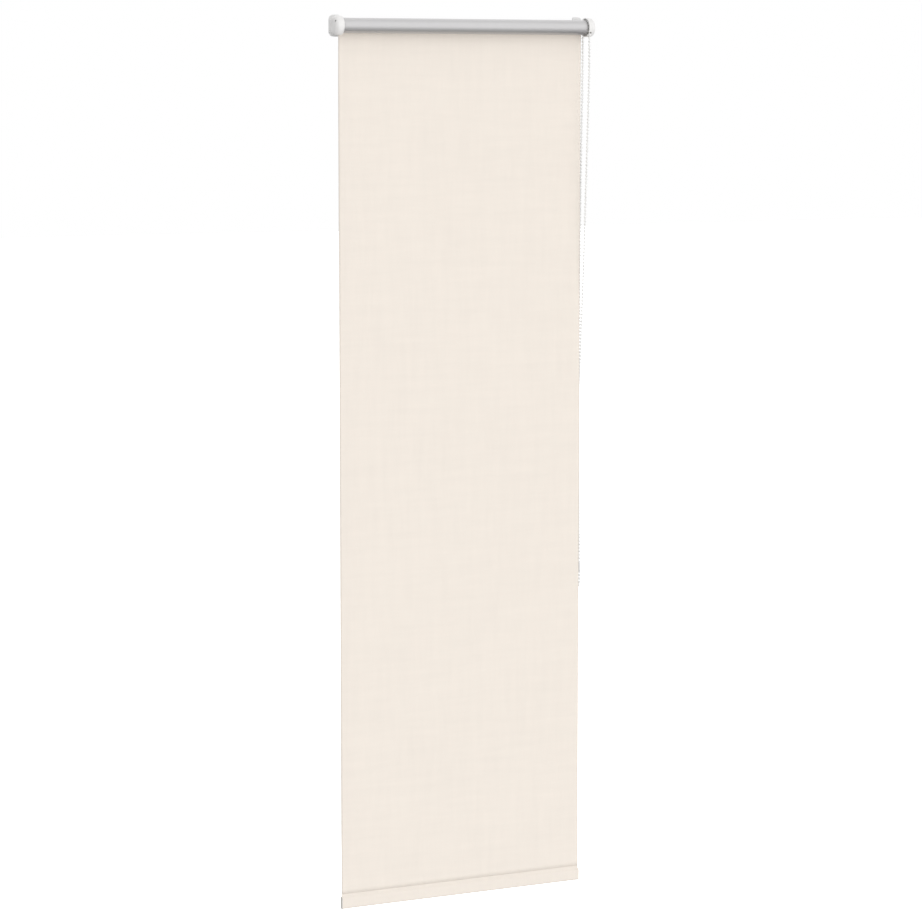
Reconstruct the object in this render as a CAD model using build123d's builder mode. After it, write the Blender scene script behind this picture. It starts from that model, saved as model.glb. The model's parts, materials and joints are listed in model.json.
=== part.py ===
from build123d import *
from math import cos, pi, radians, sin, tan
import os

# A small roller blind: fabric on an aluminium tube between two wall brackets, with a chain-driven
# clutch at the right end and a sprung pin at the left end.
# Frame: +X to the right along the roll, +Y into the wall, +Z up, millimetres. The origin is the
# centre of the four wall-screw holes, on the wall's face.

# ---- driving dimensions ----
FABRIC_WIDTH = 460.0
DROP = 1500.0            # from the top of the roll to the underside of the bottom bar
AXLE_FROM_WALL = 30.0
TUBE_RADIUS = 12.0
TUBE_WALL = 1.0
WOUND_RADIUS = 12.5      # outside of the fabric that stays on the tube when the blind is down
CLOTH = 0.5              # thickness of the hanging fabric's solid
HANG_GAP = 0.3           # between the roll and the fabric hanging behind it

BRACKET_SHEET = 2.0
FOOT_HALF_HEIGHT = 18.0
FOOT_INNER_CORNER = 3.0
FOOT_OUTER_CORNER = 8.0
FOOT_INNER = -9.2        # the foot's inner edge, measured outward from the fabric's edge
ARM_OUTER = 10.5         # the arm's outer face, measured the same way
ARM_RADIUS = 13.0
NECK_HALF = 8.0
SCREW_RADIUS = 2.25
SCREW_SPACING = 22.0

DRUM_RADIUS = 16.0       # the round plastic covers at both ends
DRUM_WALL = 1.5
LEFT_ROUNDING = 7.5
RIGHT_ROUNDING = 4.5
LEFT_DRUM = (2.0, 17.5)  # inner rim and outer face, outward from the fabric's edge
RIGHT_DRUM = (0.6, 13.5)

BEAD = 4.5               # chain: bead diameter and pitch
BEAD_PITCH = 6.0
POCKETS = 12
CHAIN_PLANE = 3.2        # the chain's plane, outward from the fabric's edge
CHAIN_EXIT_Z = -13.0
RUN_FIT = 0.1            # radial clearance of a shaft in its bearing

PIN_RADIUS = 3.0
PIN_TIP = 10.3
PIN_TRAVEL = 9.0

POCKET_HEIGHT = 25.5     # welded pocket at the foot of the fabric
BAR_HEIGHT = 20.0
BAR_THICKNESS = 6.0
BAR_WALL = 1.0
CAP_LIP = 0.6

# ---- derived places ----
HALF = FABRIC_WIDTH / 2
TUBE_END = 1.0           # the tube stops this far inside the fabric's edge
ARM_INNER = ARM_OUTER - BRACKET_SHEET
ARM_ROOT = FOOT_HALF_HEIGHT - FOOT_OUTER_CORNER
PITCH_RADIUS = POCKETS * BEAD_PITCH / (2 * pi)
CLOTH_FRONT = -AXLE_FROM_WALL + WOUND_RADIUS + HANG_GAP
CLOTH_MIDDLE = CLOTH_FRONT + CLOTH / 2
BAR_BOTTOM = WOUND_RADIUS - DROP
POCKET_TOP = BAR_BOTTOM + POCKET_HEIGHT
POCKET_SKIN = 0.5
BAR_MIDDLE = BAR_BOTTOM + POCKET_SKIN + BAR_HEIGHT / 2
LEFT, RIGHT = -1, 1

AXLE = Plane(origin=(0, -AXLE_FROM_WALL, 0), x_dir=(1, 0, 0), z_dir=(0, -1, 0))
AXLE_LINE = Axis((0, -AXLE_FROM_WALL, 0), (1, 0, 0))

os.makedirs("parts", exist_ok=True)


def save(piece, label):
    """Labels a finished piece and writes its STEP file."""
    piece.part.label = label
    export_step(piece.part, f"parts/{label}.step")
    return piece


def out(side, distance):
    """The X of a place measured outward from the fabric's edge on one side."""
    return side * (HALF + distance)


def band(x0, x1, r0, r1, mode=Mode.ADD):
    """A rectangle of a turned profile, from x0 to x1 along the axle and from radius r0 to r1."""
    with Locations(((x0 + x1) / 2, (r0 + r1) / 2)):
        Rectangle(abs(x1 - x0), r1 - r0, mode=mode)


def turned(side, *bands):
    """A solid of revolution about the axle, from bands measured outward from the fabric's edge."""
    with BuildPart() as piece:
        with BuildSketch(AXLE):
            for start, end, inner, outer in bands:
                band(out(side, start), out(side, end), inner, outer)
        revolve(axis=AXLE_LINE)
    return piece


# ---- brackets: pressed steel, an L of wall foot and arm ----
def bracket(side, arm_hole):
    """The foot stands against the wall and the arm carries the axle."""
    inner_corner = out(side, FOOT_INNER + FOOT_INNER_CORNER)
    outer_corner = out(side, ARM_OUTER - FOOT_OUTER_CORNER)
    with BuildPart() as piece:
        with BuildSketch(Plane.XZ):
            for height in (-FOOT_HALF_HEIGHT, FOOT_HALF_HEIGHT):
                up = 1 if height > 0 else -1
                with Locations((inner_corner, height - up * FOOT_INNER_CORNER)):
                    Circle(FOOT_INNER_CORNER)
                with Locations((outer_corner, height - up * FOOT_OUTER_CORNER)):
                    Circle(FOOT_OUTER_CORNER)
            make_hull()
        extrude(amount=BRACKET_SHEET)
        with BuildSketch(Plane.YZ.offset(out(side, ARM_OUTER))) as arm:
            with Locations((-AXLE_FROM_WALL, 0)):
                Circle(ARM_RADIUS)
            with Locations((-AXLE_FROM_WALL / 2, 0)):
                Rectangle(AXLE_FROM_WALL, 2 * NECK_HALF)
            with BuildLine():
                Polyline(
                    (0, -ARM_ROOT),
                    (-3, -ARM_ROOT),
                    (-AXLE_FROM_WALL / 3, -NECK_HALF),
                    (-AXLE_FROM_WALL / 3, NECK_HALF),
                    (-3, ARM_ROOT),
                    (0, ARM_ROOT),
                    close=True,
                )
            make_face()
            with Locations((-AXLE_FROM_WALL, 0)):
                Circle(arm_hole, mode=Mode.SUBTRACT)
        extrude(amount=-side * BRACKET_SHEET)
        bend = piece.edges().filter_by(Axis.Z).filter_by(
            lambda e: abs(e.center().Y) < 0.01 and abs(e.center().X - out(side, ARM_OUTER)) < 0.01
        )
        fillet(bend, 1.8)
        foot_front = Plane((out(side, 0), -BRACKET_SHEET, 0), x_dir=(1, 0, 0), z_dir=(0, -1, 0))
        with Locations(foot_front):
            with GridLocations(1, SCREW_SPACING, 1, 2):
                Hole(SCREW_RADIUS)
    return piece


save(bracket(LEFT, 5.0), "left_bracket")
save(bracket(RIGHT, 4.1), "right_bracket")


# ---- round covers: cups that close on the arm's end ----
def disc_between(side, rim, face, radius, rounding):
    """A round block between two distances out, with its outer end's edge rounded."""
    with BuildPart() as piece:
        with BuildSketch(AXLE):
            band(out(side, rim), out(side, face), 0, radius)
        revolve(axis=AXLE_LINE)
        if rounding:
            shoulder = piece.edges().filter_by(GeomType.CIRCLE).sort_by(Axis.X)[::side][-1]
            fillet(shoulder, rounding)
    return piece.part


def cup(side, rim, face, disc, rounding, inner_rounding):
    """A drum open at its inner rim, with a rounded shoulder round its outer face."""
    with BuildPart() as piece:
        add(disc_between(side, rim, face, DRUM_RADIUS, rounding))
        cavity = disc_between(side, rim, face - disc, DRUM_RADIUS - DRUM_WALL, inner_rounding)
        add(cavity, mode=Mode.SUBTRACT)
    return piece


def neck_slot(side, rim):
    """The way through a cup's back for the bracket's neck, open at the cup's rim."""
    width = ARM_OUTER - rim
    with BuildPart() as slot:
        with Locations((out(side, rim + width / 2), -AXLE_FROM_WALL + DRUM_RADIUS, 0)):
            Box(width, DRUM_RADIUS, 2 * NECK_HALF + 0.2)
    return slot.part


NOTCH_RADIUS = 1.6       # release hole in the idle cover's rounded shoulder
NOTCH_AT = 12.2
NOTCH_ANGLE = 146.0      # turned from the wall side, over the top
RECESS_RADIUS = 6.5
RECESS_DEPTH = 0.5
BOSS = (5.5, 8.0)

with BuildPart() as left_cover:
    add(cup(LEFT, *LEFT_DRUM, DRUM_WALL, LEFT_ROUNDING, LEFT_ROUNDING - DRUM_WALL).part)
    add(neck_slot(LEFT, LEFT_DRUM[0]), mode=Mode.SUBTRACT)
    with BuildSketch(AXLE):
        band(out(LEFT, ARM_OUTER), out(LEFT, LEFT_DRUM[1] - DRUM_WALL), *BOSS)
    revolve(axis=AXLE_LINE)
    with BuildSketch(AXLE):
        band(out(LEFT, LEFT_DRUM[1] - RECESS_DEPTH), out(LEFT, LEFT_DRUM[1]), 0, RECESS_RADIUS)
    revolve(axis=AXLE_LINE, mode=Mode.SUBTRACT)
    with BuildSketch(Plane.YZ.offset(out(LEFT, LEFT_DRUM[1]))):
        turn = radians(NOTCH_ANGLE)
        with Locations((-AXLE_FROM_WALL + NOTCH_AT * cos(turn), NOTCH_AT * sin(turn))):
            Circle(NOTCH_RADIUS)
    extrude(amount=5, mode=Mode.SUBTRACT)
save(left_cover, "left_cover")

GUARD_WALL = (6.6, ARM_INNER)
FLANGE_RADIUS = 8.0

with BuildPart() as right_cover:
    add(cup(RIGHT, ARM_INNER, RIGHT_DRUM[1], RIGHT_DRUM[1] - ARM_OUTER, RIGHT_ROUNDING, 0).part)
    add(neck_slot(RIGHT, ARM_INNER), mode=Mode.SUBTRACT)
save(right_cover, "right_cover")

# ---- chain guard: the drum's inner half, closed towards the arm and slotted below for the chain ----
SLOT_HALF = BEAD / 2 + 0.45
with BuildPart() as chain_guard:
    with BuildSketch(AXLE):
        band(out(RIGHT, RIGHT_DRUM[0]), out(RIGHT, ARM_INNER), DRUM_RADIUS - DRUM_WALL, DRUM_RADIUS)
        band(out(RIGHT, GUARD_WALL[0]), out(RIGHT, GUARD_WALL[1]), FLANGE_RADIUS, DRUM_RADIUS)
    revolve(axis=AXLE_LINE)
    slot_depth = CHAIN_PLANE + SLOT_HALF - RIGHT_DRUM[0]
    slot_middle = out(RIGHT, RIGHT_DRUM[0] + slot_depth / 2)
    for strand in (-PITCH_RADIUS, PITCH_RADIUS):
        with Locations((slot_middle, -AXLE_FROM_WALL + strand, -DRUM_RADIUS / 2)):
            Box(slot_depth, 2 * SLOT_HALF, DRUM_RADIUS + 2, mode=Mode.SUBTRACT)
save(chain_guard, "chain_guard")

# ---- clutch: a fixed spindle, two wrap springs, the chain wheel and the crown in the tube ----
SHAFT_RADIUS = 4.5
SHAFT_END = -36.0
BOSS_RADIUS = 4.0
SCREW_SHANK = 1.5
SCREW_HEAD = 3.0
HEAD_DEPTH = 1.5

spindle = turned(
    RIGHT,
    (SHAFT_END, GUARD_WALL[0], 0, SHAFT_RADIUS),
    (GUARD_WALL[0], ARM_INNER, 0, FLANGE_RADIUS),
    (ARM_INNER, ARM_OUTER, 0, BOSS_RADIUS),
)
with BuildPart() as clutch_spindle:
    add(spindle.part)
    with Locations(Plane(origin=(out(RIGHT, ARM_OUTER), -AXLE_FROM_WALL, 0), z_dir=(1, 0, 0))):
        CounterSinkHole(SCREW_SHANK, SCREW_HEAD, depth=14, counter_sink_angle=90)
save(clutch_spindle, "clutch_spindle")

with BuildPart() as spindle_screw:
    with BuildSketch(AXLE):
        with BuildLine():
            Polyline(
                (out(RIGHT, ARM_OUTER), 0),
                (out(RIGHT, ARM_OUTER), SCREW_HEAD),
                (out(RIGHT, ARM_OUTER - HEAD_DEPTH), SCREW_SHANK),
                (out(RIGHT, ARM_OUTER - 12), SCREW_SHANK),
                (out(RIGHT, ARM_OUTER - 12), 0),
                close=True,
            )
        make_face()
    revolve(axis=AXLE_LINE)
    with Locations(Plane(origin=(out(RIGHT, ARM_OUTER), -AXLE_FROM_WALL, 0), z_dir=(1, 0, 0))):
        Box(0.8, 4.4, 1.6, mode=Mode.SUBTRACT)
        Box(4.4, 0.8, 1.6, mode=Mode.SUBTRACT)
save(spindle_screw, "spindle_screw")

SPRING_WIRE = 1.0
SPRING_TURNS = 6
with BuildPart() as wrap_springs:
    for first in (-8.2, -15.2):
        with BuildSketch(AXLE):
            for turn_number in range(SPRING_TURNS):
                place = out(RIGHT, first + (turn_number + 0.5) * 0.9 * SPRING_WIRE)
                with Locations((place, SHAFT_RADIUS + 0.05 + SPRING_WIRE / 2)):
                    Circle(SPRING_WIRE / 2)
        revolve(axis=AXLE_LINE)
save(wrap_springs, "wrap_springs")

WHEEL = (0.4, 6.2)
WHEEL_RADIUS = PITCH_RADIUS - 1.0
GROOVE = BEAD / 2 + 0.3
POCKET = BEAD / 2 + 0.45
DOG = (6.4, 8.2)
DOG_END = -16.0
DOG_GAP = 60.0           # degrees, at the bottom
KEY_ANGLE = 50.0


def wedge(start, end, radius, angle):
    """A sector of a disc about the axle, centred straight down, between two distances out."""
    half = radians(angle / 2)
    reach = radius / cos(half)
    with BuildPart() as piece:
        with BuildSketch(Plane.YZ.offset(out(RIGHT, start))):
            with BuildLine():
                Polyline(
                    (-AXLE_FROM_WALL, 0),
                    (-AXLE_FROM_WALL - reach * sin(half), -reach * cos(half)),
                    (-AXLE_FROM_WALL + reach * sin(half), -reach * cos(half)),
                    close=True,
                )
            make_face()
        extrude(amount=end - start)
    return piece.part


wheel = turned(
    RIGHT,
    (WHEEL[0], WHEEL[1], SHAFT_RADIUS + RUN_FIT, WHEEL_RADIUS),
)
sleeve = turned(RIGHT, (DOG_END, WHEEL[0], *DOG))
with BuildPart() as chain_wheel:
    add(sleeve.part)
    add(wedge(DOG_END, WHEEL[0], 2 * DOG[1], DOG_GAP), mode=Mode.SUBTRACT)
    add(wheel.part)
    with BuildSketch(AXLE):
        with Locations((out(RIGHT, CHAIN_PLANE), PITCH_RADIUS)):
            Circle(GROOVE)
    revolve(axis=AXLE_LINE, mode=Mode.SUBTRACT)
    seat = Plane(origin=(out(RIGHT, CHAIN_PLANE), -AXLE_FROM_WALL, 0), z_dir=(1, 0, 0))
    with Locations(seat):
        with PolarLocations(PITCH_RADIUS, POCKETS):
            Sphere(POCKET, mode=Mode.SUBTRACT)
save(chain_wheel, "chain_wheel")

CROWN_RADIUS = TUBE_RADIUS - TUBE_WALL - 0.05
CROWN_BORE = 8.6
CROWN_WALL = 3.0
crown = turned(
    RIGHT,
    (SHAFT_END, -TUBE_END, CROWN_BORE, CROWN_RADIUS),
    (SHAFT_END, SHAFT_END + CROWN_WALL, SHAFT_RADIUS + RUN_FIT, CROWN_BORE),
    (-TUBE_END, 0, CROWN_BORE, TUBE_RADIUS),
)
key = turned(RIGHT, (DOG_END, -TUBE_END, DOG[0], CROWN_BORE + 0.2))
with BuildPart() as key_block:
    add(key.part)
    add(wedge(DOG_END, -TUBE_END, 2 * DOG[1], KEY_ANGLE), mode=Mode.INTERSECT)
with BuildPart() as drive_crown:
    add(crown.part)
    add(key_block.part)
save(drive_crown, "drive_crown")

# ---- roller: tube, tape, wound fabric and the idle end's plug ----
save(turned(LEFT, (-TUBE_END - 2 * (HALF - TUBE_END), -TUBE_END, TUBE_RADIUS - TUBE_WALL, TUBE_RADIUS)),
     "roller_tube")

TAPE_WIDTH = 8.0
TAPE = 0.15
with BuildPart() as fixing_tape:
    with BuildSketch(AXLE):
        band(-HALF + TUBE_END, HALF - TUBE_END, TUBE_RADIUS, TUBE_RADIUS + TAPE)
    revolve(axis=AXLE_LINE, revolution_arc=TAPE_WIDTH / TUBE_RADIUS * 180 / pi)
save(fixing_tape, "fixing_tape")

with BuildPart() as fabric_roll:
    with BuildSketch(AXLE):
        band(-HALF, HALF, TUBE_RADIUS, WOUND_RADIUS)
    revolve(axis=AXLE_LINE)
    add(fixing_tape.part, mode=Mode.SUBTRACT)
save(fabric_roll, "fabric_roll")

PLUG_END = -40.0
CHAMBER = (-34.0, -10.0)
CHAMBER_RADIUS = 5.2
COLLAR = (-12.2, -10.2)
COLLAR_RADIUS = 4.9
TAIL_END = -24.0
TAIL_RADIUS = 2.0
idle_plug = turned(
    LEFT,
    (PLUG_END, CHAMBER[0], 0, CROWN_RADIUS),
    (CHAMBER[0], CHAMBER[1], CHAMBER_RADIUS, CROWN_RADIUS),
    (CHAMBER[1], -TUBE_END, PIN_RADIUS + RUN_FIT, CROWN_RADIUS),
    (-TUBE_END, 0, PIN_RADIUS + RUN_FIT, TUBE_RADIUS),
)
save(idle_plug, "idle_plug")

pin_body = turned(
    LEFT,
    (TAIL_END, COLLAR[0], 0, TAIL_RADIUS),
    (COLLAR[0], COLLAR[1], 0, COLLAR_RADIUS),
    (COLLAR[1], PIN_TIP, 0, PIN_RADIUS),
)
with BuildPart() as idle_pin:
    add(pin_body.part)
    tip = idle_pin.edges().filter_by(GeomType.CIRCLE).sort_by(Axis.X)[0]
    chamfer(tip, 0.8)
save(idle_pin, "idle_pin")

PIN_SPRING_WIRE = 0.8
PIN_SPRING_RADIUS = 3.4
PIN_SPRING_COILS = 9
with BuildPart() as idle_spring:
    with BuildLine() as coil_line:
        Helix(
            pitch=(COLLAR[0] - CHAMBER[0] - PIN_SPRING_WIRE - 0.2) / PIN_SPRING_COILS,
            height=COLLAR[0] - CHAMBER[0] - PIN_SPRING_WIRE - 0.2,
            radius=PIN_SPRING_RADIUS,
            center=(out(LEFT, CHAMBER[0]) - PIN_SPRING_WIRE / 2 - 0.1, -AXLE_FROM_WALL, 0),
            direction=(-1, 0, 0),
        )
    with BuildSketch(Plane(origin=coil_line.line @ 0, z_dir=coil_line.line % 0)):
        Circle(PIN_SPRING_WIRE / 2)
    sweep(is_frenet=True)
save(idle_spring, "idle_spring")

BUSH_RADIUS = 5.0
BUSH_FLANGE = (7.0, 7.0)
left_bush = turned(
    LEFT,
    (ARM_INNER, ARM_OUTER, PIN_RADIUS + RUN_FIT, BUSH_RADIUS),
    (BUSH_FLANGE[0], ARM_INNER, PIN_RADIUS + RUN_FIT, BUSH_FLANGE[1]),
)
save(left_bush, "left_bush")

# ---- fabric drop: flat cloth hanging from the back of the roll to the pocket ----
with BuildPart() as fabric_drop:
    with Locations((0, CLOTH_MIDDLE, POCKET_TOP / 2)):
        Box(FABRIC_WIDTH, CLOTH, -POCKET_TOP)
save(fabric_drop, "fabric_drop")


# ---- bottom rail: welded pocket, oval bar and end caps ----
def oval(height, thickness):
    """The bar's section, a flat slot standing on edge."""
    with Locations((CLOTH_MIDDLE, BAR_MIDDLE)):
        SlotOverall(height, thickness, rotation=90)


POCKET_LIP = 1.0
BAR_END = 1.0            # the bar stops this far inside the fabric's edge
SLEEVE_HEIGHT = BAR_HEIGHT + 2 * POCKET_SKIN
SLEEVE_THICKNESS = BAR_THICKNESS + 2 * POCKET_SKIN
with BuildPart() as hem_pocket:
    with BuildSketch(Plane.YZ.offset(-HALF)):
        with BuildSketch() as outside:
            oval(SLEEVE_HEIGHT, SLEEVE_THICKNESS)
            with Locations((CLOTH_MIDDLE, POCKET_TOP - POCKET_LIP / 2)):
                Rectangle(POCKET_LIP, POCKET_LIP)
            make_hull()
        with BuildSketch(mode=Mode.SUBTRACT):
            oval(BAR_HEIGHT, BAR_THICKNESS)
    extrude(amount=FABRIC_WIDTH)
save(hem_pocket, "hem_pocket")

with BuildPart() as bottom_bar:
    with BuildSketch(Plane.YZ.offset(-HALF + BAR_END)):
        oval(BAR_HEIGHT, BAR_THICKNESS)
        with BuildSketch(mode=Mode.SUBTRACT):
            oval(BAR_HEIGHT - 2 * BAR_WALL, BAR_THICKNESS - 2 * BAR_WALL)
    extrude(amount=FABRIC_WIDTH - 2 * BAR_END)
save(bottom_bar, "bottom_bar")

CAP_PLUG = 14.0
for side, label in ((LEFT, "bar_cap_left"), (RIGHT, "bar_cap_right")):
    with BuildPart() as cap:
        with BuildSketch(Plane.YZ.offset(out(side, 0))):
            oval(SLEEVE_HEIGHT, SLEEVE_THICKNESS)
        extrude(amount=side * CAP_LIP)
        with BuildSketch(Plane.YZ.offset(out(side, 0))):
            oval(BAR_HEIGHT, BAR_THICKNESS)
        extrude(amount=-side * BAR_END)
        with BuildSketch(Plane.YZ.offset(out(side, -BAR_END))):
            oval(BAR_HEIGHT - 2 * BAR_WALL, BAR_THICKNESS - 2 * BAR_WALL)
        extrude(amount=-side * CAP_PLUG)
    save(cap, label)

# ---- chain: over the wheel, then a free loop that leans back past the fabric's edge ----
CHAIN_X = out(RIGHT, CHAIN_PLANE)
FRONT_Y = -AXLE_FROM_WALL - PITCH_RADIUS
BACK_Y = -AXLE_FROM_WALL + PITCH_RADIUS

with BuildPart() as chain_wrap:
    with BuildLine() as over:
        Line((CHAIN_X, FRONT_Y, CHAIN_EXIT_Z), (CHAIN_X, FRONT_Y, 0))
        ThreePointArc(
            (CHAIN_X, FRONT_Y, 0), (CHAIN_X, -AXLE_FROM_WALL, PITCH_RADIUS), (CHAIN_X, BACK_Y, 0)
        )
        Line((CHAIN_X, BACK_Y, 0), (CHAIN_X, BACK_Y, CHAIN_EXIT_Z))
    with BuildSketch(Plane(origin=over.line @ 0, z_dir=over.line % 0)):
        Circle(BEAD / 2)
    sweep()
save(chain_wrap, "chain_wrap")

# The front strand passes outside the bar's end, then turns in behind the fabric. The back strand
# stays outside it, near the wall.
ROUTE = [
    (CHAIN_X, FRONT_Y, CHAIN_EXIT_Z),
    (CHAIN_X, FRONT_Y, -50),
    (233.2, -40.3, -105),
    (233.2, -35.6, -195),
    (233.3, -26.4, -370),
    (234.0, -12.8, -560),
    (230.8, -9.0, -684),
    (221.5, -8.5, -790),
    (212.5, -8.3, -868),
    (207.8, -8.2, -918),
    (205.9, -8.2, -948),
    (205.7, -8.2, -965),
    (214.7, -8.2, -974),
    (227.3, -8.2, -974),
    (236.3, -8.2, -965),
    (236.2, -8.1, -948),
    (235.9, -8.0, -918),
    (235.7, -7.6, -868),
    (235.5, -6.9, -790),
    (235.4, -6.0, -684),
    (235.0, -6.2, -560),
    (234.6, -8.2, -370),
    (233.9, -13.4, -195),
    (233.4, -17.2, -105),
    (CHAIN_X, BACK_Y, -50),
    (CHAIN_X, BACK_Y, CHAIN_EXIT_Z),
]


def bend_radii(points):
    """A radius for each corner: 0.45 of the shorter run, over the tangent of half the turn."""
    radii = []
    for before, here, after in zip(points, points[1:], points[2:]):
        run_in = Vector(*here) - Vector(*before)
        run_out = Vector(*after) - Vector(*here)
        half_turn = radians(run_in.get_angle(run_out)) / 2
        radii.append(0.45 * min(run_in.length, run_out.length) / tan(half_turn))
    return radii


with BuildPart() as chain_loop:
    with BuildLine() as loop_line:
        FilletPolyline(*ROUTE, radius=bend_radii(ROUTE))
    with BuildSketch(Plane(origin=loop_line.line @ 0, z_dir=loop_line.line % 0)):
        Circle(BEAD / 2)
    sweep()
save(chain_loop, "chain_loop")

CONNECTOR_RADIUS = 3.0
CONNECTOR = 13.0
CONNECTOR_RUN = 15       # the loop's run, counted from the front exit, that carries the connector
run_start, run_end = Vector(*ROUTE[CONNECTOR_RUN]), Vector(*ROUTE[CONNECTOR_RUN + 1])
along = (run_end - run_start).normalized()
middle = (run_start + run_end) * 0.5
with BuildPart() as chain_connector:
    with BuildSketch(Plane(origin=middle, z_dir=along)):
        Circle(CONNECTOR_RADIUS)
        Circle(BEAD / 2, mode=Mode.SUBTRACT)
    extrude(amount=CONNECTOR / 2, both=True)
    rims = chain_connector.edges().filter_by(GeomType.CIRCLE).filter_by(
        lambda e: abs(e.radius - CONNECTOR_RADIUS) < 0.01
    )
    fillet(rims, 0.5)
save(chain_connector, "chain_connector")
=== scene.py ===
import json
import math

import bmesh
import bpy
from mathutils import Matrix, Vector, noise


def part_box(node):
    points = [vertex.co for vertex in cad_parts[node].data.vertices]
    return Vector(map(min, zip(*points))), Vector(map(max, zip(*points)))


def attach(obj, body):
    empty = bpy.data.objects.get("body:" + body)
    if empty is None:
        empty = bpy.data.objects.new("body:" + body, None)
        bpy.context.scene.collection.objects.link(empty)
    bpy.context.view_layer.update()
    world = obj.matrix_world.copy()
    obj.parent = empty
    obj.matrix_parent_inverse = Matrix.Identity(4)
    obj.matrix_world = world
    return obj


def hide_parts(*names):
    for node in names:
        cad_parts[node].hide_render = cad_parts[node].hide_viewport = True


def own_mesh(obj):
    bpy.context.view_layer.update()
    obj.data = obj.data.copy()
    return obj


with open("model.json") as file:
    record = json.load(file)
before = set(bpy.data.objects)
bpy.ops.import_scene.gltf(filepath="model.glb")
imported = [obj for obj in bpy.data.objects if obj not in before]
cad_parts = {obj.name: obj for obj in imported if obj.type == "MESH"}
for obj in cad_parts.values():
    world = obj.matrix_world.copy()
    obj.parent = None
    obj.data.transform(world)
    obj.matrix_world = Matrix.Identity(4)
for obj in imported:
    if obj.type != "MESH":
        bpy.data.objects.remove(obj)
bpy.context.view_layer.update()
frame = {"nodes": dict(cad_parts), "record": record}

MM = 0.001

# ---- the object's own places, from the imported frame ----
ROLL_LOW, ROLL_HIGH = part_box("fabric_roll")
DROP_LOW, DROP_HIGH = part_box("fabric_drop")
HEM_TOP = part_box("hem_pocket")[1].z
WRAP_LOW, WRAP_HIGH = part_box("chain_wrap")
AXLE_Y = (ROLL_LOW.y + ROLL_HIGH.y) / 2
ROLL_RADIUS = (ROLL_HIGH.z - ROLL_LOW.z) / 2
FABRIC_LEFT, FABRIC_RIGHT = DROP_LOW.x, DROP_HIGH.x
WIDTH, DROP = FABRIC_RIGHT - FABRIC_LEFT, DROP_HIGH.z - DROP_LOW.z
CLOTH_Y = (DROP_LOW.y + DROP_HIGH.y) / 2
CLOTH = 0.4 * MM
BEAD = 4.5 * MM
BEAD_PITCH = 6.0 * MM
WHEEL_BEADS = 12


# ---- camera: at the left of the blind, level with its head, looking slightly down ----
def make_camera():
    yaw, pitch = math.radians(27.65), math.radians(6.36)    # turned to the right, tipped down
    data = bpy.data.cameras.new("camera")
    data.lens = 131.1
    data.sensor_width = 36.0
    data.clip_end = 60.0
    camera = bpy.data.objects.new("camera", data)
    camera.location = (-2.640, -5.053, -0.1004)
    ahead = Vector((math.sin(yaw) * math.cos(pitch), math.cos(yaw) * math.cos(pitch), -math.sin(pitch)))
    camera.rotation_euler = ahead.to_track_quat("-Z", "Y").to_euler()
    bpy.context.collection.objects.link(camera)
    bpy.context.scene.camera = camera


# ---- materials ----
class Shader:
    """A node material with a Principled shader and short ways to add nodes."""

    def __init__(self, name, colour, roughness, **sockets):
        self.material = bpy.data.materials.new(name)
        self.material.use_nodes = True
        self.tree = self.material.node_tree
        self.principled = self.tree.nodes["Principled BSDF"]
        self.set("Base Color", (*colour, 1.0))
        self.set("Roughness", roughness)
        for socket, value in sockets.items():
            self.set(socket.replace("_", " "), value)
        self.place = self.tree.nodes.new("ShaderNodeTexCoord").outputs["Object"]

    def set(self, socket, value):
        self.principled.inputs[socket].default_value = value

    def node(self, kind, **inputs):
        made = self.tree.nodes.new(kind)
        for key, value in inputs.items():
            made.inputs[key.replace("_", " ")].default_value = value
        return made

    def link(self, source, target):
        self.tree.links.new(source, target)

    def stretched(self, scale):
        """Object coordinates multiplied by scale along X, Y and Z."""
        mapping = self.node("ShaderNodeMapping")
        mapping.inputs["Scale"].default_value = scale
        self.link(self.place, mapping.inputs["Vector"])
        return mapping.outputs["Vector"]

    def noise(self, scale, detail=3.0, roughness=0.5, stretch=(1, 1, 1)):
        made = self.node("ShaderNodeTexNoise", Scale=scale, Detail=detail, Roughness=roughness)
        self.link(self.stretched(stretch), made.inputs["Vector"])
        return made.outputs["Fac"]

    def wave(self, direction, pitch, wobble=0.0, wobble_scale=1.0):
        """Ribs across one axis, a pitch apart in metres."""
        made = self.node("ShaderNodeTexWave", Scale=math.pi / (10 * pitch), Distortion=wobble)
        made.wave_type = "BANDS"
        made.bands_direction = direction
        made.inputs["Detail Scale"].default_value = wobble_scale
        self.link(self.place, made.inputs["Vector"])
        return made.outputs["Fac"]

    def math(self, operation, a, b):
        made = self.tree.nodes.new("ShaderNodeMath")
        made.operation = operation
        for socket, value in zip(made.inputs, (a, b)):
            if isinstance(value, float):
                socket.default_value = value
            else:
                self.link(value, socket)
        return made.outputs[0]

    def range(self, value, low, high):
        made = self.node("ShaderNodeMapRange")
        made.inputs["To Min"].default_value = low
        made.inputs["To Max"].default_value = high
        self.link(value, made.inputs["Value"])
        return made.outputs["Result"]

    def colours(self, value, *stops):
        """Colour from a value through (position, colour) stops."""
        made = self.tree.nodes.new("ShaderNodeValToRGB")
        ramp = made.color_ramp.elements
        while len(ramp) < len(stops):
            ramp.new(0.5)
        for element, (position, colour) in zip(ramp, stops):
            element.position = position
            element.color = (*colour, 1.0)
        self.link(value, made.inputs["Fac"])
        self.link(made.outputs["Color"], self.principled.inputs["Base Color"])

    def rough(self, value, low, high):
        self.link(self.range(value, low, high), self.principled.inputs["Roughness"])

    def bump(self, height, distance, strength=1.0):
        made = self.node("ShaderNodeBump", Strength=strength, Distance=distance)
        self.link(height, made.inputs["Height"])
        previous = self.principled.inputs["Normal"]
        if previous.is_linked:
            self.link(previous.links[0].from_socket, made.inputs["Normal"])
        self.link(made.outputs["Normal"], previous)


def shade(colour, factor):
    return tuple(min(1.0, c * factor) for c in colour)


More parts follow.
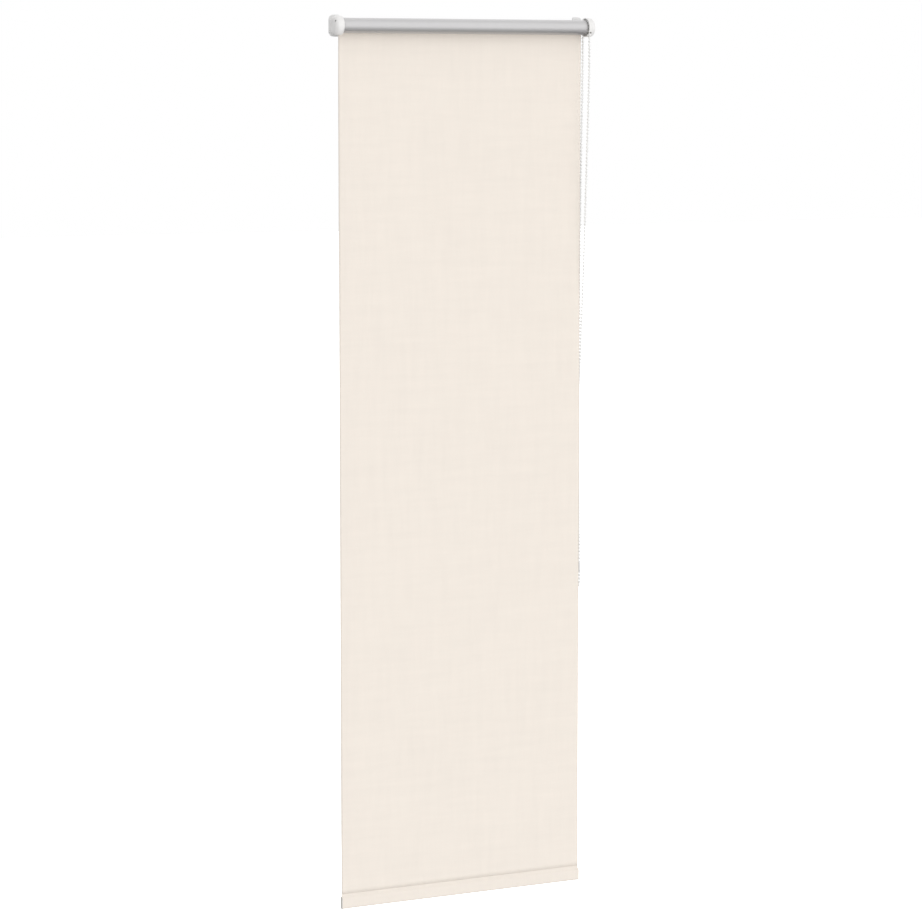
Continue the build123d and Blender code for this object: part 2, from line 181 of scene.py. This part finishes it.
def woven(name, colour, roughness, depth, **sockets):
    """Plain-weave cloth: warp and weft ribs, uneven threads and faint slubs."""
    made = Shader(name, colour, roughness, **sockets)
    warp = made.wave("X", 0.55 * MM, 0.6, 2.0)
    weft = made.wave("Z", 0.62 * MM, 0.6, 2.0)
    weave = made.math("MULTIPLY", warp, weft)
    slubs = made.noise(90.0, 4.0, 0.6, (1.0, 1.0, 0.12))
    threads = made.noise(90.0, 4.0, 0.6, (0.12, 1.0, 1.0))
    uneven = made.math("ADD", made.math("MULTIPLY", slubs, 0.5), made.math("MULTIPLY", threads, 0.5))
    tone = made.math("ADD", made.math("MULTIPLY", uneven, 0.75), made.math("MULTIPLY", weave, 0.25))
    made.colours(tone, (0.2, shade(colour, 0.95)), (0.75, shade(colour, 1.03)))
    made.rough(uneven, roughness - 0.05, min(1.0, roughness + 0.06))
    made.bump(weave, depth)
    made.bump(uneven, 2 * depth, 0.35)
    return made.material


def moulded(name, colour, roughness):
    """Moulded plastic: a fine spark-eroded grain, faint flow marks and handling marks."""
    made = Shader(name, colour, roughness)
    flow = made.noise(35.0, 2.0)
    made.colours(flow, (0.3, shade(colour, 0.97)), (0.7, shade(colour, 1.02)))
    marks = made.noise(260.0, 5.0, 0.65)
    made.rough(marks, roughness - 0.07, roughness + 0.10)
    made.bump(made.noise(4200.0, 2.0), 0.03 * MM, 0.5)
    return made.material


def powder_coat(name, colour):
    """Powder-coated steel with its orange-peel skin."""
    made = Shader(name, colour, 0.38, Coat_Weight=0.15)
    made.colours(made.noise(60.0), (0.3, shade(colour, 0.97)), (0.7, shade(colour, 1.01)))
    made.rough(made.noise(300.0, 4.0), 0.32, 0.48)
    made.bump(made.noise(900.0, 2.0), 0.06 * MM, 0.6)
    return made.material


def metal(name, colour, roughness, stretch, scale=1400.0):
    """Bare metal with fine drawing marks along one axis."""
    made = Shader(name, colour, roughness, Metallic=1.0)
    marks = made.noise(scale, 4.0, 0.6, stretch)
    made.colours(made.noise(50.0, 3.0), (0.3, shade(colour, 0.92)), (0.7, shade(colour, 1.04)))
    made.rough(marks, roughness - 0.10, roughness + 0.14)
    made.bump(marks, 0.02 * MM, 0.5)
    return made.material


def make_materials():
    cream = (0.905, 0.832, 0.752)
    silver = (0.590, 0.583, 0.586)
    return {
        "cream_fabric": woven("cream_fabric", cream, 0.86, 0.05 * MM, Sheen_Weight=0.12),
        "silver_reverse": woven("silver_reverse", silver, 0.44, 0.025 * MM, Metallic=0.65),
        "white_plastic": moulded("white_plastic", (0.88, 0.87, 0.86), 0.36),
        "cap_plastic": moulded("cap_plastic", (0.70, 0.68, 0.65), 0.48),
        "bearing_plastic": moulded("bearing_plastic", (0.74, 0.74, 0.72), 0.42),
        "chain_plastic": moulded("chain_plastic", (0.96, 0.96, 0.95), 0.30),
        "chain_string": woven("chain_string", (0.93, 0.92, 0.91), 0.80, 0.03 * MM),
        "tape": moulded("tape", (0.84, 0.83, 0.80), 0.60),
        "coated_steel": powder_coat("coated_steel", (0.88, 0.88, 0.87)),
        "plated_steel": metal("plated_steel", (0.62, 0.62, 0.60), 0.34, (1.0, 1.0, 1.0), 500.0),
        "tube_aluminium": metal("tube_aluminium", (0.78, 0.79, 0.80), 0.32, (0.02, 1.0, 1.0)),
    }


def dress_frame(materials):
    """Gives every CAD node the material of its slot."""
    for part in frame["record"]["subparts"]:
        node = frame["nodes"][part["node"]]
        node.data.materials.clear()
        node.data.materials.append(materials[part["material_slot"]])


# ---- mesh helpers ----
def piece_from(name, points, faces, materials, choose=None, smooth=True):
    """A mesh object. choose gives each face's material index from its number."""
    mesh = bpy.data.meshes.new(name)
    mesh.from_pydata([tuple(p) for p in points], [], faces)
    for material in materials:
        mesh.materials.append(material)
    for polygon in mesh.polygons:
        polygon.use_smooth = smooth
        if choose:
            polygon.material_index = choose(polygon.index)
    edit = bmesh.new()
    edit.from_mesh(mesh)
    bmesh.ops.recalc_face_normals(edit, faces=edit.faces)
    edit.to_mesh(mesh)
    edit.free()
    made = bpy.data.objects.new(name, mesh)
    bpy.context.collection.objects.link(made)
    return made


def sharpen(piece, degrees=35.0):
    """Smooth faces with edges kept sharp where they turn by more than this."""
    mesh = piece.data
    edit = bmesh.new()
    edit.from_mesh(mesh)
    for edge in edit.edges:
        if len(edge.link_faces) == 2 and edge.calc_face_angle(0.0) > math.radians(degrees):
            edge.smooth = False
    edit.to_mesh(mesh)
    edit.free()


def sheet_mesh(front, back):
    """Points and faces of a closed sheet from two equal grids of points, rows by columns.
    The faces come as front, then back, then rim."""
    rows, columns = len(front), len(front[0])
    points = [p for grid in (front, back) for row in grid for p in row]
    shift = rows * columns

    def at(row, column, layer):
        return row * columns + column + layer * shift

    faces = []
    for layer in (0, 1):
        for r in range(rows - 1):
            for c in range(columns - 1):
                quad = [at(r, c, layer), at(r, c + 1, layer), at(r + 1, c + 1, layer), at(r + 1, c, layer)]
                faces.append(quad if layer else quad[::-1])
    around = (
        [(0, c) for c in range(columns)]
        + [(r, columns - 1) for r in range(1, rows)]
        + [(rows - 1, c) for c in range(columns - 2, -1, -1)]
        + [(r, 0) for r in range(rows - 2, 0, -1)]
    )
    for here, after in zip(around, around[1:] + around[:1]):
        faces.append([at(*here, 0), at(*after, 0), at(*after, 1), at(*here, 1)])
    return points, faces


# ---- fabric ----
COLUMNS = 139            # of the hanging cloth's mesh
ROWS = 180
EDGE_CURL = 0.9 * MM     # how far the cut edges curl back
CURL_WIDTH = 14 * MM     # how far in from the edge the curl reaches
WAVE = 0.35 * MM         # depth of the shallow waves
SETTLE = 0.08            # share of the drop, at each end, where curl and waves fade out
TURN_STEP = 0.35 * MM    # how far the outermost turn sinks into the one below


def cloth_offset(x, z):
    """How far the hanging cloth stands back from its plane: curled edges and shallow waves, none
    at the roll or at the bar."""
    depth = (DROP_HIGH.z - z) / DROP
    near_end = min(1.0, min(depth, 1.0 - depth) / SETTLE)
    free = near_end * near_end * (3 - 2 * near_end)
    near_edge = min(x - FABRIC_LEFT, FABRIC_RIGHT - x)
    curl = EDGE_CURL * math.exp(-near_edge / CURL_WIDTH)
    wave = WAVE * noise.noise(Vector((x * 5.0, z * 1.3, 0.4)))
    return free * (curl + wave)


def hanging_cloth(materials):
    """The drop, from the back of the roll to the hem: cream to the room, silver to the wall."""
    front, back = [], []
    for r in range(ROWS + 1):
        z = DROP_HIGH.z - DROP * r / ROWS
        for grid, side in ((front, -1), (back, 1)):
            grid.append([
                (x, CLOTH_Y + cloth_offset(x, z) + side * CLOTH / 2, z)
                for x in (FABRIC_LEFT + WIDTH * c / COLUMNS for c in range(COLUMNS + 1))
            ])
    points, faces = sheet_mesh(front, back)
    fronts = ROWS * COLUMNS
    made = piece_from(
        "hanging_cloth", points, faces, [materials["cream_fabric"], materials["silver_reverse"]],
        lambda i: 1 if fronts <= i < 2 * fronts else 0,
    )
    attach(made, "brackets")
    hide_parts("fabric_drop")
    return made


def leaving_cloth(materials):
    """The outermost turn where it leaves the roll: it rises up the back and sinks into the turn
    below it near the front."""
    steps, columns = 72, 60
    arc = math.radians(150)
    start_inner = CLOTH_Y - CLOTH / 2 - AXLE_Y
    sink = ROLL_RADIUS - TURN_STEP
    front, back = [], []
    for s in range(steps + 1):
        share = 1 - s / steps
        angle = arc * share
        inner = start_inner + (sink - CLOTH - start_inner) * share
        for grid, radius in ((front, inner), (back, inner + CLOTH)):
            y, z = AXLE_Y + radius * math.cos(angle), radius * math.sin(angle)
            grid.append([(FABRIC_LEFT + WIDTH * c / columns, y, z) for c in range(columns + 1)])
    points, faces = sheet_mesh(front, back)
    fronts = steps * columns
    made = piece_from(
        "leaving_cloth", points, faces, [materials["cream_fabric"], materials["silver_reverse"]],
        lambda i: 0 if i < fronts else 1,
    )
    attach(made, "brackets")
    return made


def wound_cloth(materials):
    """The cloth that stays on the tube: a single turn, with its cut edge showing at both ends."""
    around = 160
    tube_low, tube_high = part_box("roller_tube")
    inner = (tube_high.z - tube_low.z) / 2
    # the cut edge, as (inset in mm, share of the way out from the tube)
    cut = [(0.15, 0.0), (0.04, 0.04), (0.0, 0.5), (0.04, 0.96), (0.10, 1.0)]
    edge = [(FABRIC_LEFT + inset * MM, inner + (ROLL_RADIUS - inner) * share) for inset, share in cut]
    lengths = 60
    profile = edge + [(FABRIC_LEFT + WIDTH * i / lengths, ROLL_RADIUS) for i in range(1, lengths)]
    profile += [(FABRIC_LEFT + FABRIC_RIGHT - x, r) for x, r in reversed(edge)]
    points, faces = [], []
    count = len(profile)
    for a in range(around):
        angle = 2 * math.pi * a / around
        for x, radius in profile:
            points.append((x, AXLE_Y + radius * math.cos(angle), radius * math.sin(angle)))
        b = (a + 1) % around
        for i in range(count):
            j = (i + 1) % count
            faces.append([a * count + i, a * count + j, b * count + j, b * count + i])
    made = piece_from("wound_cloth", points, faces, [materials["silver_reverse"]])
    sharpen(made)
    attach(made, "roller")
    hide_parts("fabric_roll")
    return made


SLEEVE_SKIN = 0.45 * MM      # the sleeve stands this far outside the bar
WELD_BAND = 2.6 * MM         # height of the pressed band at its top
WELD_DIP = 0.05 * MM         # how much the weld is pressed in
WELD_HALF = 0.42 * MM        # half the band's thickness
SLIT_HALF = 0.08 * MM        # half the gap between the two inner faces below the weld
WELD_DEPTH = 0.8 * MM        # cloth between the band and the pocket's inside
SLACK = 0.10 * MM            # unevenness of the outside


def inner_shares(count):
    """The shares of a run cut into equal parts, without its two ends."""
    return [k / count for k in range(1, count)]


def hem_sleeve(materials):
    """The pocket round the bottom bar: a welded band above, a teardrop round the bar, thin edges."""
    bar_low, bar_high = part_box("bottom_bar")
    half = (bar_high.y - bar_low.y) / 2
    mid = (bar_high.y + bar_low.y) / 2
    low_centre, high_centre = bar_low.z + half, bar_high.z - half

    def side_of(extra, neck, foot):
        """Half a section, front side, from the top down to the lowest point, as (y from the middle, z):
        a pressed band, a straight run that touches the bar's curve, and the bar's own outline."""
        radius = half + extra
        line = [(neck - WELD_DIP * math.sin(math.pi * k / 6) ** 2, HEM_TOP + (foot - HEM_TOP) * k / 6)
                for k in range(7)]
        touch = math.acos(radius / (foot - high_centre))
        end = (radius * math.sin(touch), high_centre + radius * math.cos(touch))
        for share in inner_shares(5):
            line.append((neck + (end[0] - neck) * share, foot + (end[1] - foot) * share))
        for k in range(6):
            angle = touch + (math.pi / 2 - touch) * k / 5
            line.append((radius * math.sin(angle), high_centre + radius * math.cos(angle)))
        for share in inner_shares(5):
            line.append((radius, high_centre + (low_centre - high_centre) * share))
        for k in range(9):
            angle = math.pi / 2 * k / 8
            line.append((radius * math.cos(angle), low_centre - radius * math.sin(angle)))
        return line

    def uneven(x, y, z, slack):
        """A point of the sleeve, moved in or out by a little noise."""
        return x, y + math.copysign(slack, y - mid) * noise.noise(Vector((x * 22, z * 40, y * 9))), z

    outer = side_of(SLEEVE_SKIN, WELD_HALF, HEM_TOP - WELD_BAND)
    inner = side_of(0.0, SLIT_HALF, HEM_TOP - WELD_BAND - WELD_DEPTH)[6:]    # from the foot of the band
    columns = 116
    edit = bmesh.new()
    for side, slack in ((outer, SLACK), (inner, 0.0)):
        section = [(mid - y, z) for y, z in side] + [(mid + y, z) for y, z in side[-2::-1]]
        inward = side is inner
        rings = []
        for c in range(columns + 1):
            x = FABRIC_LEFT + WIDTH * c / columns
            rings.append([edit.verts.new(uneven(x, y, z, slack)) for y, z in section])
        count = len(section)
        for before, after in zip(rings, rings[1:]):
            for i in range(count):
                j = (i + 1) % count
                quad = [before[i], before[j], after[j], after[i]]
                edit.faces.new(quad if inward else quad[::-1])
        for ring in (rings[0], rings[-1]):
            for i in range(count):
                if not edit.edges.get((ring[i], ring[(i + 1) % count])):
                    edit.edges.new((ring[i], ring[(i + 1) % count]))
    rims = [e for e in edit.edges if e.is_boundary]
    for end in (FABRIC_LEFT, FABRIC_RIGHT):
        here = [e for e in rims if all(abs(v.co.x - end) < 0.001 * MM for v in e.verts)]
        bmesh.ops.triangle_fill(edit, use_beauty=True, use_dissolve=False, edges=here)
    bmesh.ops.recalc_face_normals(edit, faces=edit.faces)
    mesh = bpy.data.meshes.new("hem_sleeve")
    edit.to_mesh(mesh)
    edit.free()
    mesh.materials.append(materials["cream_fabric"])
    for polygon in mesh.polygons:
        polygon.use_smooth = True
    made = bpy.data.objects.new("hem_sleeve", mesh)
    bpy.context.collection.objects.link(made)
    sharpen(made, 50.0)
    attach(made, "bottom_rail")
    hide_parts("hem_pocket")
    return made


# ---- bead chain ----
CHAIN_X = (WRAP_LOW.x + WRAP_HIGH.x) / 2
PITCH_RADIUS = WHEEL_BEADS * BEAD_PITCH / (2 * math.pi)
FRONT_Y, BACK_Y = AXLE_Y - PITCH_RADIUS, AXLE_Y + PITCH_RADIUS
EXIT_Z = WRAP_LOW.z
# The front strand leans back outside the fabric's edge and turns in behind it near the foot. The
# back strand stays outside the edge, near the wall.
ROUTE = [
    (CHAIN_X, FRONT_Y, EXIT_Z),
    (CHAIN_X, FRONT_Y, -0.050),
    (0.2332, -0.0403, -0.105),
    (0.2332, -0.0356, -0.195),
    (0.2333, -0.0264, -0.370),
    (0.2340, -0.0128, -0.560),
    (0.2308, -0.0090, -0.684),
    (0.2215, -0.0085, -0.790),
    (0.2125, -0.0083, -0.868),
    (0.2078, -0.0082, -0.918),
    (0.2059, -0.0082, -0.948),
    (0.2057, -0.0082, -0.965),
    (0.2147, -0.0082, -0.974),
    (0.2273, -0.0082, -0.974),
    (0.2363, -0.0082, -0.965),
    (0.2362, -0.0081, -0.948),
    (0.2359, -0.0080, -0.918),
    (0.2357, -0.0076, -0.868),
    (0.2355, -0.0069, -0.790),
    (0.2354, -0.0060, -0.684),
    (0.2350, -0.0062, -0.560),
    (0.2346, -0.0082, -0.370),
    (0.2339, -0.0134, -0.195),
    (0.2334, -0.0172, -0.105),
    (CHAIN_X, BACK_Y, -0.050),
    (CHAIN_X, BACK_Y, EXIT_Z),
]


def smooth_line(route, resolution=32):
    """Points along the NURBS curve that has the route as its control points."""
    data = bpy.data.curves.new("route", "CURVE")
    data.dimensions = "3D"
    data.resolution_u = resolution
    spline = data.splines.new("NURBS")
    spline.points.add(len(route) - 1)
    for point, place in zip(spline.points, route):
        point.co = (*place, 1.0)
    spline.order_u = 3
    spline.use_endpoint_u = True
    carrier = bpy.data.objects.new("route", data)
    mesh = bpy.data.meshes.new_from_object(carrier)
    line = [v.co.copy() for v in mesh.vertices]
    bpy.data.objects.remove(carrier)
    bpy.data.curves.remove(data)
    bpy.data.meshes.remove(mesh)
    return line


def length_of(line):
    return sum((b - a).length for a, b in zip(line, line[1:]))


def at_lengths(line, lengths):
    """(point, direction) at each distance along a line, the distances in rising order."""
    found, done, i = [], 0.0, 0
    for wanted in lengths:
        while i < len(line) - 2 and done + (line[i + 1] - line[i]).length < wanted:
            done += (line[i + 1] - line[i]).length
            i += 1
        run = line[i + 1] - line[i]
        found.append((line[i] + run * ((wanted - done) / run.length), run.normalized()))
    return found


class Builder:
    """Points and faces of one mesh, gathered from simple shapes."""

    def __init__(self):
        self.points, self.faces, self.kinds = [], [], []

    def add(self, points, faces, kind):
        shift = len(self.points)
        self.points += points
        self.faces += [[i + shift for i in face] for face in faces]
        self.kinds += [kind] * len(faces)

    def lathe(self, profile, place, ahead, sides, kind):
        """A closed turned shape: (distance along, radius) from one pole to the other."""
        turn = ahead.to_track_quat("Z", "Y")
        points = [place + turn @ Vector((0, 0, profile[0][0]))]
        for along, radius in profile[1:-1]:
            for k in range(sides):
                a = 2 * math.pi * k / sides
                points.append(place + turn @ Vector((radius * math.cos(a), radius * math.sin(a), along)))
        points.append(place + turn @ Vector((0, 0, profile[-1][0])))
        rings, last = len(profile) - 2, len(points) - 1
        faces = []
        for k in range(sides):
            j = (k + 1) % sides
            faces.append([0, 1 + j, 1 + k])
            faces.append([last, last - sides + k, last - sides + j])
            for r in range(rings - 1):
                low, high = 1 + r * sides, 1 + (r + 1) * sides
                faces.append([low + k, low + j, high + j, high + k])
        self.add(points, faces, kind)

    def tube(self, line, radius, sides, kind):
        """A round tube along a line, closed at both ends."""
        points, side = [], None
        for i, point in enumerate(line):
            ahead = (line[min(i + 1, len(line) - 1)] - line[max(i - 1, 0)]).normalized()
            side = ahead.orthogonal() if side is None else side - ahead * side.dot(ahead)
            side.normalize()
            other = ahead.cross(side)
            for k in range(sides):
                a = 2 * math.pi * k / sides
                points.append(point + (side * math.cos(a) + other * math.sin(a)) * radius)
        last = len(points) - sides
        faces = [list(range(sides))[::-1], list(range(last, last + sides))]
        for ring in range(0, last, sides):
            for k in range(sides):
                j = (k + 1) % sides
                faces.append([ring + k, ring + j, ring + sides + j, ring + sides + k])
        self.add(points, faces, kind)

    def finish(self, name, materials):
        return piece_from(name, self.points, self.faces, materials, lambda i: self.kinds[i])


def bead_profile(radius):
    """A moulded bead: a ball with a narrow seam round its middle and a small collar at each end."""
    profile = [(-1.10 * radius, 0.0), (-1.10 * radius, 0.34 * radius), (-0.93 * radius, 0.38 * radius)]
    for degrees in (-62, -48, -34, -20, -8, 8, 20, 34, 48, 62):
        a = math.radians(degrees)
        grow = 1.015 if abs(degrees) < 10 else 1.0
        profile.append((radius * math.sin(a), grow * radius * math.cos(a)))
    profile += [(0.93 * radius, 0.38 * radius), (1.10 * radius, 0.34 * radius), (1.10 * radius, 0.0)]
    return profile


def bead_chain(name, line, beads, materials):
    """String and beads as one mesh, the beads at the given distances along the line."""
    chain = Builder()
    chain.tube(line, 0.65 * MM, 8, 1)
    for place, along in at_lengths(line, beads):
        chain.lathe(bead_profile(BEAD / 2), place, along, 16, 0)
    made = chain.finish(name, [materials["chain_plastic"], materials["chain_string"]])
    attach(made, "brackets")
    return made


def free_loop(materials):
    """The loop from the front exit to the back one. Its beads carry on from those of the wheel run,
    at the pitch nearest to theirs that fits a whole number in."""
    first = BEAD_PITCH * math.ceil(-EXIT_Z / BEAD_PITCH) + EXIT_Z
    line = smooth_line(ROUTE)
    length = length_of(line)
    count = round((length - 2 * first) / BEAD_PITCH)
    pitch = (length - 2 * first) / count
    loop = bead_chain("bead_chain", line, [first + pitch * i for i in range(count + 1)], materials)
    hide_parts("chain_loop")
    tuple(ROUTE[0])


def wheel_run(materials):
    """The chain between the exits, up and over the wheel, which has half its beads on the upper half."""
    steps = 48
    over = [Vector((CHAIN_X, FRONT_Y, EXIT_Z))]
    over += [
        Vector((CHAIN_X, AXLE_Y - PITCH_RADIUS * math.cos(math.pi * s / steps),
                PITCH_RADIUS * math.sin(math.pi * s / steps)))
        for s in range(steps + 1)
    ]
    over.append(Vector((CHAIN_X, BACK_Y, EXIT_Z)))
    below = math.floor(-EXIT_Z / BEAD_PITCH)    # whole pitches between the axle's level and an exit
    first = -EXIT_Z - BEAD_PITCH * below
    count = WHEEL_BEADS // 2 + 2 * below
    pitch = (length_of(over) - 2 * first) / count
    run = bead_chain("wheel_chain", over, [first + pitch * i for i in range(count + 1)], materials)
    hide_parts("chain_wrap")


# ---- studio ----
def make_floor():
    """A pale, glowing floor below the blind, which adds no light to it and isn't reflected in it."""
    floor = piece_from(
        "floor", [(-30, -30, 0), (30, -30, 0), (30, 30, 0), (-30, 30, 0)], [(0, 1, 2, 3)], [], smooth=False
    )
    floor.location.z = DROP_LOW.z - 0.30
    pale = Shader("floor_pale", (0.92, 0.92, 0.92), 0.9)
    pale.set("Emission Color", (1, 1, 1, 1))
    pale.set("Emission Strength", 0.9)
    floor.data.materials.append(pale.material)
    floor.visible_diffuse = False
    floor.visible_glossy = False


def sun(name, azimuth, elevation, strength, spread):
    """A wide sun lamp. Azimuth 0 shines from the room straight at the wall, and a larger one comes
    round by the right. Angles are in degrees."""
    data = bpy.data.lights.new(name, "SUN")
    data.energy = strength
    data.angle = math.radians(spread)
    lamp = bpy.data.objects.new(name, data)
    a, e = math.radians(azimuth), math.radians(elevation)
    towards = Vector((-math.sin(a) * math.cos(e), math.cos(a) * math.cos(e), -math.sin(e)))
    lamp.rotation_euler = towards.to_track_quat("-Z", "Y").to_euler()
    bpy.context.collection.objects.link(lamp)


def make_lights():
    """A key from the front, a lamp from low down in front, and one from the wall's side."""
    sun("key", 24, 14, 0.80, 80)
    sun("foot_light", 14, -28, 0.66, 80)
    sun("wall_side", 160, 20, 0.70, 90)


def make_room():
    """White where the camera looks past the object. Diffuse light and what shiny parts reflect each
    rise from dark below to bright above, on their own scales."""
    world = bpy.data.worlds.new("room")
    bpy.context.scene.world = world
    world.use_nodes = True
    tree = world.node_tree
    tree.nodes.clear()
    output = tree.nodes.new("ShaderNodeOutputWorld")
    rays = tree.nodes.new("ShaderNodeLightPath")
    seen = tree.nodes.new("ShaderNodeBackground")
    seen.inputs["Color"].default_value = (1, 1, 1, 1)
    split = tree.nodes.new("ShaderNodeSeparateXYZ")
    tree.links.new(tree.nodes.new("ShaderNodeTexCoord").outputs["Generated"], split.inputs[0])

    def gradient(low, high, dark, bright):
        """Light that rises with height, between two heights of its direction."""
        lit = tree.nodes.new("ShaderNodeBackground")
        height = tree.nodes.new("ShaderNodeMapRange")
        for name, value in (("From Min", low), ("From Max", high), ("To Min", dark), ("To Max", bright)):
            height.inputs[name].default_value = value
        tree.links.new(split.outputs["Z"], height.inputs["Value"])
        tree.links.new(height.outputs["Result"], lit.inputs["Strength"])
        return lit.outputs[0]

    def choose(ray, otherwise, chosen):
        mix = tree.nodes.new("ShaderNodeMixShader")
        tree.links.new(rays.outputs[ray], mix.inputs["Fac"])
        tree.links.new(otherwise, mix.inputs[1])
        tree.links.new(chosen, mix.inputs[2])
        return mix.outputs[0]

    diffuse = gradient(-0.6, 0.8, 0.70, 0.95)
    reflected = gradient(-0.70, 0.95, 0.05, 1.32)
    lit = choose("Is Glossy Ray", diffuse, reflected)
    tree.links.new(choose("Is Camera Ray", lit, seen.outputs[0]), output.inputs["Surface"])
    bpy.context.scene.view_settings.view_transform = "Standard"


make_camera()
MATERIALS = make_materials()
dress_frame(MATERIALS)
free_loop(MATERIALS)
wheel_run(MATERIALS)
wound_cloth(MATERIALS)
lead = leaving_cloth(MATERIALS)
sleeve = hem_sleeve(MATERIALS)
cloth = hanging_cloth(MATERIALS)
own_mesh(cloth)
make_floor()
make_lights()
make_room()
